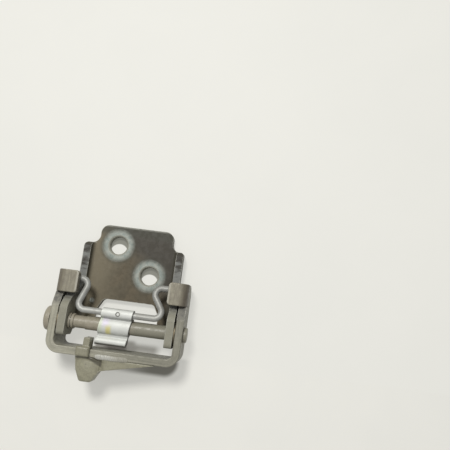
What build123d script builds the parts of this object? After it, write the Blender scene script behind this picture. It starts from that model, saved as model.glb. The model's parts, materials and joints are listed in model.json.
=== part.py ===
from build123d import *
import os
from math import acos, atan2, degrees, sqrt

# Car door hinge with a built-in check spring. All lengths are millimetres.
#
# The leaf is a pressed plate with two bolt holes, turned-up sides and two ears on the
# hinge pin. The other half is a strip bent into a U, with a tab folded in at the top of
# each arm. The pin is fixed in the leaf's ears and turns in bushes in the U's arms. A
# bent wire, hooked under the tabs, carries a folded clip that grips the pin, so the
# hinge turns with a steady drag and holds its position. A stop lug is hooked over the
# front edge of the U's web and held by a weld bead.
#
# X runs along the pin, Y from the pin towards the free end of the leaf, and Z up from
# the face that the leaf bolts on by. The origin is the middle of the two bolt holes on
# that face. The sizes below are measured from the pin's axis unless they say otherwise.
# Everything on the pin's line is drawn about the bracket's own middle, which lies a little
# to the left of the origin, and is shifted there at the end.

# Sheet and strip
sheet = 4.5                  # thickness of the leaf's plate and of the U's strip
edge_round = 0.6             # small round left on the pressed edges

# Pin axis
pin_to_bolts = 40.6          # along Y, pin axis to the middle of the bolt holes
pin_height = 16.0            # along Z, bolted face to the pin axis
hinge_shift = -0.8           # along X, origin to the bracket's middle

# U bracket
bracket_width = 78.4         # over the outer faces of the arms
bracket_front = 7.0          # front edge of the strip, in front of the pin axis
web_outer = 18.8             # pin axis to the web's outer face
bend_inner = 3.2             # inner radius of the two corners of the U
arm_top = 29.6               # pin axis to the top of the arms and tabs
arm_top_round = 9.0          # round on the hidden rear corner at the top of an arm
tab_low = 16.4               # lower edge of the tabs
tab_reach_left = 13.0        # arm's outer face to the tab's free edge
tab_reach_right = 11.8
arm_dip = 4.0                # how far the arm's front edge dips beside the tab
arm_dip_start = 8.0          # pin axis to where the dip begins
tab_bend_inner = 0.3         # inner radius of the tab's fold
tab_corner = 2.2             # round on the tab's free corners

# Leaf
joggle_step = 2.6            # the sides stand this far inside the ears' outer faces
shoulder_step = 8.1          # width of the step from a side to the tongue
leaf_end = 61.2              # pin axis to the end of the tongue
shoulder = 49.2              # pin axis to the shoulders beside the tongue
tongue_corner = 5.0
tongue_fillet = 5.0
shoulder_corner = 2.5
side_height = 9.0            # turned-up sides, from the bolted face
side_bend = 4.0              # outer radius where the sides turn up
side_bend_inner = 2.4
joggle_low = 13.0            # where the sides start to step out to the ears
joggle_high = 25.0
slope_top = 23.5             # where the side's edge leaves the low stretch
slope_low = 8.8              # where it reaches the front of the ear
ear_front = 8.0              # front edge of the ear, in front of the pin axis
ear_end = 8.3                # pin axis to the ear's flat end, towards the web
ear_corner = 2.4
ear_back = 10.4              # radius of the ear's hidden rear round
ear_shoulder = 5.0           # rounds along the edge of the ear and the side
slope_round = 6.0
side_end_round = 4.0
leg_end = 8.4                # where the plate's back ends beside the window
window_top = 15.1            # edge of the plate between the ears
window_middle = 0.9          # along X
window_half = 15.8
window_foot = 19.3           # half width of the window where it meets the legs' ends
window_corner = 3.0
boss_r = 1.6                 # small locating boss pressed out of the plate
boss_height = 0.7
boss_round = 0.5
boss_x = -22.0
boss_y = 13.2

# Bolt holes and the bright rings that the bolts' washers left
bolt_hole_r = 5.5
bolt_hole_round = 1.3        # pressed round at the hole's front rim
bolt_step_x = 22.0           # between the holes, along X
bolt_step_y = 16.8           # between the holes, along Y
washer_mark_r = 10.0
washer_mark_depth = 0.12

# Pin
pin_r = 4.1                  # long middle stretch, gripped by the clip
journal_left_r = 4.4         # turns in the left bush
journal_right_r = 4.0        # turns in the right bush
spline_r = 4.3               # pressed in the left ear
spline_grooves = 24
spline_depth = 0.25
neck_r = 3.7                 # relieved stretch beside the collar
neck_end = -18.8             # X where the neck meets the middle stretch
head_r = 7.2
head_thick = 3.6
head_dome = 1.5
peen_r = 4.4                 # riveted end outside the right arm
peen_length = 2.1
peen_round = 0.8
detent_flats = (-55.0, 0.0, 55.0)   # degrees round the pin, the flats under the clip
detent_depth = 0.45
collar_r = 4.5
collar_length = 3.4
collar_round = 0.35
collar_groove = 0.6          # width and depth of the groove round its middle

# Bushes
bush_wall = 1.3
bush_flange_r = 7.4
bush_flange_thick = 0.8      # fills the gap between an arm and the leaf's ear
axial_play = 0.1             # left at each face that turns against another

# Clearances and working tolerances
over = 1.0                   # how far a cut runs past what it cuts
near = 0.01                  # how close a corner or edge is to where it is looked for
running = 0.05               # radius, shaft in bush or clip
seated = 0.02                # radius, bush in arm and pin in ear

# Check spring
wire_r = 1.9
wire_y = 7.4                 # straight run beside the pin
wire_z = 4.2                 # height of the wire above the pin axis
wire_foot_left = 8.8         # arm's inner face to where the left leg meets the straight run
wire_foot_right = 6.4
wire_top_left = 14.6         # arm's inner face to where it meets the line of the ends
wire_top_right = 18.6
wire_end_y = 25.4            # where the ends run under the tabs
wire_tab_gap = 0.05          # wire to the underside of the tab
wire_end_gap = 0.6           # wire's tip to the arm's inner face
wire_bend_r = 4.0

# Spring clip
clip_sheet = 1.0
clip_left = -10.4            # X of the left edge beside the pin
clip_right = 8.0
clip_skew = 0.135            # the side edges slope this much, as X over Y
clip_lip_y = 9.2             # centre of the rolled lip, on the web's side of the pin
clip_lip_z = 0.4
clip_lip_r = 2.3
clip_slit = 0.3              # gap left where the rolled lip meets the sheet again
clip_slit_length = 2.4
clip_slit_rise = 0.35        # how far the gap lies above the lip's centre
clip_blend = 0.8
clip_dimple_r = 1.1
clip_dimple_depth = 0.35
clip_dimple_x = 0.3

# Stop lug, hooked over the web's front edge
lug_left = -20.7
lug_right = -5.4
lug_tip = 32.7               # pin axis to the lug's tip
lug_tip_left = -16.3
lug_tip_right = -9.4
lug_waist_left = 26.8        # where the left side starts to narrow
lug_waist_inset = 1.6        # and how far it has come in there
lug_waist_right = 25.6       # where the right side starts to narrow
lug_foot_proud = 0.6         # how far the foot stands in front of the web's front edge
lug_proud = 3.0              # and how far the cap over the edge does
lug_back = 9.0               # how far the lug reaches behind that edge
lug_taper_end = 25.8         # X where the long root runs out
lug_root = 7.3               # height of the long root beside the foot
lug_root_end = 0.3           # and at its end
lug_cap_left = -20.2
lug_cap_right = -12.3
lug_cap_past = 1.3           # how far the cap reaches past the web's inner face
lug_tongue_top = 7.8         # pin axis to the top of the tongue inside the U
lug_tongue_left = -16.9
lug_tongue_lean = 0.4
lug_tongue_gap = 0.5         # tongue to the side of the clip
lug_tongue_depth = 7.0
lug_pocket_x = 9.0           # dark pocket in the foot's upper corner, beside the root
lug_pocket_y = 4.6
lug_pocket_depth = 5.0
lug_corner = 2.0             # round on the foot's corners, seen from the front
lug_round = 1.4              # round along the front edges
lug_lap = 1.0                # how far the lug's parts run into each other

# Weld bead between the web's edge and the lug's root
bead_start = -9.2
bead_end = 9.8
bead_pitch = 1.3
bead_height = 0.9
bead_ball_r = 1.7
bead_below_edge = 0.9        # bead's line, inside the web's outer face

# Worked out from the sizes above
half = bracket_width / 2
web_inner = web_outer - sheet
front_z = pin_height + bracket_front
arm_inner = half - sheet
tab_bend = tab_bend_inner + sheet
ear_half = arm_inner - bush_flange_thick - axial_play
ear_inner = ear_half - sheet
side_half = ear_half - joggle_step
tongue_half = side_half - shoulder_step
wire_run_z = pin_height + wire_z
wire_end_z = front_z - sheet - wire_r - wire_tab_gap


def from_pin(y):
    """Y in the part's frame of a place given from the pin's axis."""
    return y - pin_to_bolts


def about_origin(x):
    """X from the origin of a place given from the bracket's middle."""
    return x + hinge_shift


def flat_shape(points):
    """Closed flat outline in the XY plane, with Y given from the pin's axis."""
    return make_face(Polyline([(x, from_pin(y)) for x, y in points], close=True))


def along_pin(radius, start, end):
    """Cylinder round the pin's axis between two X places."""
    place = Pos((start + end) / 2, from_pin(0), pin_height) * Rot(0, 90, 0)
    return place * Cylinder(radius, end - start)


def block(x0, x1, y0, y1, z0, z1):
    """Box between corners, with Y given from the pin's axis."""
    centre = Pos((x0 + x1) / 2, from_pin((y0 + y1) / 2), (z0 + z1) / 2)
    return centre * Box(x1 - x0, y1 - y0, z1 - z0)


def corners_at(shape, places):
    """Vertices of a flat shape that lie at the given XY places."""
    found = []
    for x, y in places:
        for v in shape.vertices():
            if abs(v.X - x) < near and abs(v.Y - from_pin(y)) < near:
                found.append(v)
    return found


def u_bracket():
    """Strip bent into a U, with a tab folded in at the top of each arm."""
    outline = flat_shape([(-half, arm_top), (-half, -web_outer), (half, -web_outer), (half, arm_top)])
    outline = fillet(corners_at(outline, [(-half, -web_outer), (half, -web_outer)]), bend_inner + sheet)
    bottom = [(-arm_inner, -web_inner), (arm_inner, -web_inner)]
    inside = flat_shape([(-arm_inner, arm_top + over)] + bottom + [(arm_inner, arm_top + over)])
    inside = fillet(corners_at(inside, bottom), bend_inner)
    strip = extrude(outline - inside, front_z)
    strip = fillet(strip.edges().group_by(Axis.Z)[-1], edge_round)
    strip = fillet(strip.edges().group_by(Axis.Z)[0], edge_round)
    for side in (-1, 1):
        clear = block(*sorted((side * half, side * arm_inner)), tab_low, arm_top + over, 0, front_z)
        strip = strip - clear + folded_arm_end(side)
        dip = [(arm_dip_start, front_z), (tab_low, front_z - arm_dip), (tab_low, front_z + over),
               (arm_dip_start, front_z + over)]
        dip = make_face(Polyline([(from_pin(y), z) for y, z in dip], close=True))
        start, end = sorted((side * (half + over), side * (arm_inner - over)))
        across = Plane(origin=(start, 0, 0), x_dir=(0, 1, 0), z_dir=(1, 0, 0))
        strip = strip - extrude(across * dip, end - start)
    for side in (-1, 1):
        bush_seat = bush_outer_r(side) + seated
        strip = strip - along_pin(bush_seat, *sorted((side * (half + over), side * (arm_inner - over))))
    return strip


def folded_arm_end(side):
    """Top of an arm with its tab, as one bent section drawn from above."""
    outer, inner = side * half, side * arm_inner
    free = side * (half - (tab_reach_left if side < 0 else tab_reach_right))
    under = front_z - sheet
    plane = Plane(origin=(0, from_pin(tab_low), 0), x_dir=(1, 0, 0), z_dir=(0, 1, 0))
    # On this plane the second axis points down, so heights are written as minus Z.
    path = [(outer, 0), (outer, -front_z), (free, -front_z), (free, -under), (inner, -under), (inner, 0)]
    section = make_face(Polyline(path, close=True))
    for (x, z), radius in (((outer, -front_z), tab_bend), ((inner, -under), tab_bend_inner)):
        corner = [v for v in section.vertices() if abs(v.X - x) < near and abs(v.Y - z) < near]
        section = fillet(corner, radius)
    end = extrude(plane * section, arm_top - tab_low)
    rear = [e for e in end.edges().filter_by(Axis.X)
            if e.center().Z < near and e.center().Y > from_pin(arm_top) - near]
    end = fillet(rear, arm_top_round)
    tips = [e for e in end.edges().filter_by(Axis.Z)
            if abs(e.center().X - free) < near]
    end = fillet(tips, tab_corner)
    rim = [e for e in end.edges()
           if abs(e.center().Z - front_z) < near and abs(e.center().X) < half - tab_bend - near]
    return fillet(rim, edge_round)


def bush_outer_r(side):
    """Outer radius of a bush."""
    journal = journal_left_r if side < 0 else journal_right_r
    return journal + running + bush_wall


def bush(side):
    """Flanged bush in an arm, with its flange between the arm and the leaf's ear."""
    journal = journal_left_r if side < 0 else journal_right_r
    inner = side * arm_inner
    sleeve = along_pin(bush_outer_r(side), *sorted((side * half, inner)))
    flange = along_pin(bush_flange_r, *sorted((inner, inner - side * bush_flange_thick)))
    bore = along_pin(journal + running, *sorted((side * (half + over), side * (ear_half - over))))
    return sleeve + flange - bore


def leaf_side_profile():
    """Outline of a leaf side and ear, seen along the pin."""
    base = -pin_height
    low_edge = side_height - pin_height
    # The rear of the ear is a round about the pin, from the ear's flat end to the line
    # that runs off it, tangent, to the end of the plate's back.
    leg_reach = sqrt(leg_end ** 2 + base ** 2)
    leg_angle = 360 - degrees(atan2(-base, leg_end))
    tangent_angle = leg_angle - degrees(acos(ear_back / leg_reach))
    flat_angle = 180 + degrees(acos(ear_end / ear_back))
    rear = CenterArc((0, 0), ear_back, flat_angle, tangent_angle - flat_angle)
    rest = Polyline(
        rear @ 1, (leg_end, base), (shoulder, base), (shoulder, low_edge), (slope_top, low_edge),
        (slope_low, ear_front), (-ear_end, ear_front), rear @ 0)
    profile = make_face([rear, rest])
    for y, z, radius in (
            (-ear_end, ear_front, ear_corner), (slope_low, ear_front, ear_shoulder),
            (slope_top, low_edge, slope_round), (shoulder, low_edge, side_end_round)):
        corner = [v for v in profile.vertices() if abs(v.X - y) < near and abs(v.Y - z) < near]
        profile = fillet(corner, radius)
    plane = Plane(origin=(0, from_pin(0), pin_height), x_dir=(0, 1, 0), z_dir=(1, 0, 0))
    return plane * profile


def leaf_wall_line(ear_x, side_x, low_y):
    """Flat outline as wide as the given ear and side lines, down to a given Y."""
    lines = []
    for side in (1, -1):
        ear = about_origin(side * ear_x)
        straight = side * side_x
        lines.append([(ear, low_y), (ear, joggle_low), (straight, joggle_high), (straight, shoulder)])
    return flat_shape(lines[0] + lines[1][::-1])


def rounded_floor(solid, radius, floor_z):
    """Round the long edges where a tray's walls meet its floor."""
    edges = [e for e in solid.edges()
             if abs(e.center().Z - floor_z) < near and abs(e.center().X) > side_half / 2]
    return fillet(edges, radius)


def leaf_tray():
    """Plate with its turned-up sides and ears, before the window and the holes."""
    below = -2 * ear_end
    tall = front_z + ear_front
    outer = rounded_floor(extrude(leaf_wall_line(ear_half, side_half, below), tall), side_bend, 0)
    inner = leaf_wall_line(ear_inner, side_half - sheet, below - over)
    inner = extrude(inner, tall) + block(
        sheet - side_half, side_half - sheet, shoulder - over, leaf_end, 0, tall)
    inner = Pos(0, 0, sheet) * rounded_floor(inner, side_bend_inner, 0)
    return (outer - inner) & extrude(leaf_side_profile(), bracket_width, both=True)


def leaf_tongue():
    """Flat end of the leaf, with rounded corners and a fillet to each shoulder."""
    w, s = tongue_half, side_half
    low = joggle_high
    # The two rounds of a shoulder share its step, so neither outgrows it.
    share = min(1.0, (shoulder_step - near) / (tongue_fillet + shoulder_corner))
    outline = flat_shape([
        (-s, low), (s, low), (s, shoulder), (w, shoulder), (w, leaf_end),
        (-w, leaf_end), (-w, shoulder), (-s, shoulder)])
    for places, radius in (
            ([(-w, leaf_end), (w, leaf_end)], tongue_corner),
            ([(-w, shoulder), (w, shoulder)], tongue_fillet * share),
            ([(-s, shoulder), (s, shoulder)], shoulder_corner * share)):
        outline = fillet(corners_at(outline, places), radius)
    return outline


def leaf_window():
    """Outline of the window between the ears, open towards the pin."""
    right = [(window_half, window_top), (window_foot, leg_end), (window_foot, -ear_end)]
    points = [(-x, y) for x, y in reversed(right)] + right
    outline = flat_shape([(x + window_middle, y) for x, y in points])
    top = [(window_middle + side * window_half, window_top) for side in (-1, 1)]
    return fillet(corners_at(outline, top), window_corner)


def leaf_bracket():
    """Pressed leaf: plate, turned-up sides, ears, window, bolt holes and locating boss."""
    tray = leaf_tray()
    shape = leaf_tongue()
    tongue = extrude(shape, sheet)
    # The tongue's outline also rounds the shoulders of the tray.
    far = block(-side_half, side_half, joggle_high, shoulder, 0, front_z)
    end = block(-side_half, side_half, shoulder, leaf_end, 0, sheet)
    body = (tray - far) + ((tray & far) & extrude(shape, front_z)) + (tongue & end)
    body = body - extrude(leaf_window(), sheet)
    for side in (-1, 1):
        x, y = side * bolt_step_x / 2, -side * bolt_step_y / 2
        mark = Pos(x, y, sheet - washer_mark_depth / 2)
        body = body - mark * Cylinder(washer_mark_r, washer_mark_depth)
        body = body - Pos(x, y, sheet / 2) * Cylinder(bolt_hole_r, 2 * sheet)
        rim = [e for e in body.edges().filter_by(GeomType.CIRCLE)
               if abs(e.radius - bolt_hole_r) < near and e.center().Z > sheet / 2
               and (e.arc_center - Vector(x, y, e.arc_center.Z)).length < near]
        body = fillet(rim, bolt_hole_round)
    boss = Pos(boss_x, from_pin(boss_y), sheet) * Cylinder(boss_r, 2 * boss_height)
    boss = fillet(boss.edges().group_by(Axis.Z)[-1], boss_round)
    body = body + boss
    at_bracket = Pos(hinge_shift, 0, 0)
    body = body - at_bracket * along_pin(spline_r + seated, -ear_half - over, -ear_inner + over)
    return body - at_bracket * along_pin(pin_r + seated, ear_inner - over, ear_half + over)


def hinge_pin():
    """Headed pin: journals, splined zone, relieved neck, detent flats, riveted end."""
    head_end = -half - axial_play
    head = along_pin(head_r, head_end - head_thick, head_end)
    outer_rim = [e for e in head.edges() if abs(e.center().X - (head_end - head_thick)) < near]
    head = fillet(outer_rim, head_dome)
    left = along_pin(journal_left_r, head_end, -ear_half)
    spline = along_pin(spline_r, -ear_half, -ear_inner)
    for step in range(spline_grooves):
        angle = 360 / spline_grooves * step
        cutter = Pos(-ear_half + sheet / 2, from_pin(0), pin_height) * Rot(angle, 0, 0)
        spline = spline - cutter * Pos(0, 0, spline_r) * Box(sheet, 2 * spline_depth, 2 * spline_depth)
    neck = along_pin(neck_r, -ear_inner, neck_end)
    middle = along_pin(pin_r, neck_end, ear_half)
    right = along_pin(journal_right_r, ear_half, half)
    peen_start = half + axial_play
    bridge = along_pin(journal_right_r, half, peen_start)
    peen = along_pin(peen_r, peen_start, peen_start + peen_length)
    rim = [e for e in peen.edges() if abs(e.center().X - peen_start - peen_length) < near]
    peen = fillet(rim, peen_round)
    pin = head + left + spline + neck + middle + right + bridge + peen
    clip_span = clip_right - clip_left
    for angle in detent_flats:
        place = Pos((clip_left + clip_right) / 2, from_pin(0), pin_height) * Rot(angle, 0, 0)
        pin = pin - place * Pos(0, 0, 2 * pin_r - detent_depth) * Box(clip_span, 2 * pin_r, 2 * pin_r)
    return pin


def pin_collar():
    """Grooved ring on the pin's neck, against the inner face of the left ear."""
    start, end = -ear_inner, -ear_inner + collar_length
    ring = along_pin(collar_r, start, end)
    ring = fillet(ring.edges().filter_by(GeomType.CIRCLE), collar_round)
    middle, depth = (start + end) / 2, collar_r - collar_groove
    groove = along_pin(collar_r + over, middle - collar_groove / 2, middle + collar_groove / 2)
    ring = ring - (groove - along_pin(depth, start, end))
    return ring - along_pin(neck_r + seated, start - over, end + over)


def check_spring():
    """Bent wire: a straight run through the clip and two legs that end under the tabs."""
    tip = arm_inner - wire_end_gap
    points = [
        (-tip, wire_end_y, wire_end_z),
        (wire_top_left - arm_inner, wire_end_y, wire_end_z),
        (wire_foot_left - arm_inner, wire_y, wire_run_z),
        (arm_inner - wire_foot_right, wire_y, wire_run_z),
        (arm_inner - wire_top_right, wire_end_y, wire_end_z),
        (tip, wire_end_y, wire_end_z)]
    points = [(x, from_pin(y), z) for x, y, z in points]
    path = FilletPolyline(*points, radius=wire_bend_r)
    start = Plane(origin=points[0], z_dir=path % 0)
    return sweep(start * Circle(wire_r), path=path)


def clip_edge(x, y):
    """X of a side edge of the clip at a given distance from the pin's axis."""
    return x + clip_skew * y


def clip_side_lines(height):
    """Solid between the clip's two sloping side edges."""
    far = web_inner
    return extrude(flat_shape([
        (clip_edge(clip_left, far), far), (clip_edge(clip_left, -far), -far),
        (clip_edge(clip_right, -far), -far), (clip_edge(clip_right, far), far)]), height)


def spring_clip():
    """Sheet folded round the wire and the pin, with a rolled lip beyond the pin."""
    hole_pin = pin_r + running
    hole_wire = wire_r + running
    reach = sqrt(wire_y ** 2 + wire_z ** 2)
    lean = degrees(atan2(wire_z, wire_y))
    spare = clip_skew * 2 * reach
    plane = Plane(origin=(clip_left - spare, from_pin(0), pin_height), x_dir=(0, 1, 0), z_dir=(1, 0, 0))
    outer = Circle(hole_pin + clip_sheet)
    outer = outer + Pos(wire_y, wire_z) * Circle(hole_wire + clip_sheet)
    outer = outer + Rot(0, 0, lean) * Pos(reach / 2, 0) * Rectangle(reach, 2 * clip_sheet)
    outer = outer + Pos(-clip_lip_y / 2, clip_lip_z / 2) * Rectangle(clip_lip_y, 2 * clip_sheet)
    outer = outer + Pos(-clip_lip_y, clip_lip_z) * Circle(clip_lip_r)
    outer = offset(offset(outer, clip_blend), -clip_blend)
    inner = Circle(hole_pin) + Pos(wire_y, wire_z) * Circle(hole_wire)
    inner = inner + Pos(-clip_lip_y, clip_lip_z) * Circle(clip_lip_r - clip_sheet)
    inner = inner + Pos(-clip_lip_y + clip_lip_r, clip_lip_z + clip_slit_rise) * Rectangle(
        clip_slit_length, clip_slit)
    clip = extrude(plane * (outer - inner), clip_right - clip_left + 2 * spare)
    clip = clip & clip_side_lines(front_z + spare)
    crest = wire_run_z + hole_wire + clip_sheet
    dimple = Pos(clip_dimple_x, from_pin(wire_y), crest - clip_dimple_depth / 2)
    return clip - dimple * Cylinder(clip_dimple_r, clip_dimple_depth)


def lug_foot():
    """Foot of the lug outside the web, with a sloping pocket beside the root."""
    foot = flat_shape([
        (lug_left, -web_outer), (lug_right, -web_outer), (lug_right, -lug_waist_right),
        (lug_tip_right, -lug_tip), (lug_tip_left, -lug_tip), (lug_left + lug_waist_inset, -lug_waist_left)])
    foot = fillet(corners_at(foot, [
        (lug_tip_right, -lug_tip), (lug_tip_left, -lug_tip),
        (lug_right, -lug_waist_right), (lug_left + lug_waist_inset, -lug_waist_left)]), lug_corner)
    back_z, foot_z = front_z - lug_back, front_z + lug_foot_proud
    foot = Pos(0, 0, back_z) * extrude(foot, foot_z - back_z)
    rim = [e for e in foot.edges().group_by(Axis.Z)[-1] if e.center().Y < from_pin(-web_outer) - near]
    foot = fillet(rim, lug_round)
    # The pocket is a corner cut by the plane through two points on the front and one deep one.
    corner = (lug_right + over, from_pin(-web_outer + over), foot_z + over)
    along_x = (lug_right - lug_pocket_x, corner[1], corner[2])
    along_y = (corner[0], from_pin(-web_outer - lug_pocket_y), corner[2])
    deep = (corner[0], corner[1], foot_z - lug_pocket_depth)
    return foot - tetrahedron(corner, along_x, along_y, deep)


def tetrahedron(a, b, c, d):
    """Solid with four corners."""
    sides = [Face(Wire.make_polygon([Vector(*p) for p in three], close=True))
             for three in ((a, b, c), (a, b, d), (a, c, d), (b, c, d))]
    return Solid(Shell(sides))


def stop_lug():
    """Forged lug: a foot and long root outside the web, a cap over its edge, a tongue inside it."""
    back_z, proud_z = front_z - lug_back, front_z + lug_proud
    root = flat_shape([
        (lug_right - lug_lap, -web_outer), (lug_taper_end, -web_outer),
        (lug_taper_end, -web_outer - lug_root_end), (lug_right - lug_lap, -web_outer - lug_root)])
    root = Pos(0, 0, back_z) * extrude(root, lug_back)
    cap = block(lug_cap_left, lug_cap_right, -web_outer, -web_inner + lug_cap_past, front_z, proud_z)
    cap = fillet(cap.edges().group_by(Axis.Z)[-1], lug_round)
    right = clip_edge(clip_left, -web_inner) - lug_tongue_gap
    tongue = flat_shape([
        (lug_tongue_left, -web_inner), (right, -web_inner), (right, -lug_tongue_top),
        (lug_tongue_left + lug_tongue_lean, -lug_tongue_top)])
    tongue = Pos(0, 0, front_z - lug_tongue_depth) * extrude(tongue, lug_tongue_depth + lug_proud / 2)
    bridge = block(lug_tongue_left, right, -web_outer, -web_inner, front_z, front_z + lug_proud / 2)
    return lug_foot() + root + cap + tongue + bridge


def weld_bead():
    """Rippled bead along the web's front edge, a chain of overlapping low domes."""
    y = -(web_outer - bead_below_edge)
    count = int(round((bead_end - bead_start) / bead_pitch)) + 1
    bead = None
    for step in range(count):
        x = bead_start + step * (bead_end - bead_start) / (count - 1)
        dome = Pos(x, from_pin(y), front_z + bead_height - bead_ball_r) * Sphere(bead_ball_r)
        bead = dome if bead is None else bead + dome
    reach = bead_ball_r
    keep = block(bead_start - reach, bead_end + reach, y - reach, y + reach, front_z, front_z + reach)
    return (bead & keep) - stop_lug()


ON_THE_PIN_LINE = {
    "u_bracket": u_bracket,
    "left_bush": lambda: bush(-1),
    "right_bush": lambda: bush(1),
    "check_spring": check_spring,
    "spring_clip": spring_clip,
    "stop_lug": stop_lug,
    "weld_bead": weld_bead,
    "hinge_pin": hinge_pin,
    "pin_collar": pin_collar,
}

os.makedirs("parts", exist_ok=True)
for name, make in ON_THE_PIN_LINE.items():
    export_step(Pos(hinge_shift, 0, 0) * make(), "parts/" + name + ".step")
export_step(leaf_bracket(), "parts/leaf_bracket.step")
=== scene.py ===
"""Car door hinge, dressed and lit as it lies in its photograph.

The leaf is a pressed plate with two bolt holes, the other half is a strip bent into a U.
The pin joins them, and a bent wire with a folded clip drags on it. All lengths are metres
in the part's own frame: X runs along the pin, Y from the pin to the leaf's free end, and Z
up from the face that the leaf bolts on by. The origin is midway between the bolt holes.
"""

import json
import logging
import math
from dataclasses import dataclass
from enum import Enum
from functools import reduce
from typing import Any, Callable, Iterable

import bmesh
import bpy
from mathutils import Euler, Matrix, Vector, noise

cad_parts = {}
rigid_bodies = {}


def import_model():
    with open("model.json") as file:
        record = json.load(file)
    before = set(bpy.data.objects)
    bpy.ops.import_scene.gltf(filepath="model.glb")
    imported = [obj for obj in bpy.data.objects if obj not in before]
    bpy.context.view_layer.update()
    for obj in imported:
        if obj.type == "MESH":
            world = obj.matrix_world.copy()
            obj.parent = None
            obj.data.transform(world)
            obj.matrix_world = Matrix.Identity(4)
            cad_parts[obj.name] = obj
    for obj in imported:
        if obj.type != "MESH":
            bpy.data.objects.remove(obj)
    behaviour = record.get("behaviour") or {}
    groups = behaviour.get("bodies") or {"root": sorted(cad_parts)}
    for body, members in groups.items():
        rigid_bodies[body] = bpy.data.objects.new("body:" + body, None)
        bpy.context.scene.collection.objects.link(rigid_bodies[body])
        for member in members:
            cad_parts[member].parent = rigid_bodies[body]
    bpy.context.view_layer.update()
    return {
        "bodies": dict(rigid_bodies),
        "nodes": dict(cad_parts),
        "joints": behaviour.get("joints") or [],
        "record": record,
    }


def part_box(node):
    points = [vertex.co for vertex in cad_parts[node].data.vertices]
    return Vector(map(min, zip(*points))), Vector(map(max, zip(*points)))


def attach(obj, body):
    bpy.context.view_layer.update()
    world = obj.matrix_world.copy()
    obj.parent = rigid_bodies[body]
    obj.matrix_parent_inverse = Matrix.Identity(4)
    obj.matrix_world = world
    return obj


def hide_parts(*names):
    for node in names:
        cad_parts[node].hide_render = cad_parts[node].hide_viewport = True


Colour = tuple[float, float, float]
Span = tuple[float, float]
Triple = tuple[float, float, float]
Step = tuple[float, float, float, float]
Node = bpy.types.Node
Socket = bpy.types.NodeSocket
Tree = bpy.types.NodeTree

log = logging.getLogger("door_hinge")

MM = 0.001
PIN = Vector((0.0, -40.6, 16.0)) * MM
BRACKET_MIDDLE = -0.8 * MM
FRONT_Z = 23.0 * MM


class Body(Enum):
    """The CAD body that the made pieces ride on."""

    BRACKET = "bracket"


class Slot(Enum):
    """Material slots of the record for the made pieces."""

    STRIP = "primed_strip"
    WELD = "weld"


# Shader graph helpers


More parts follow.
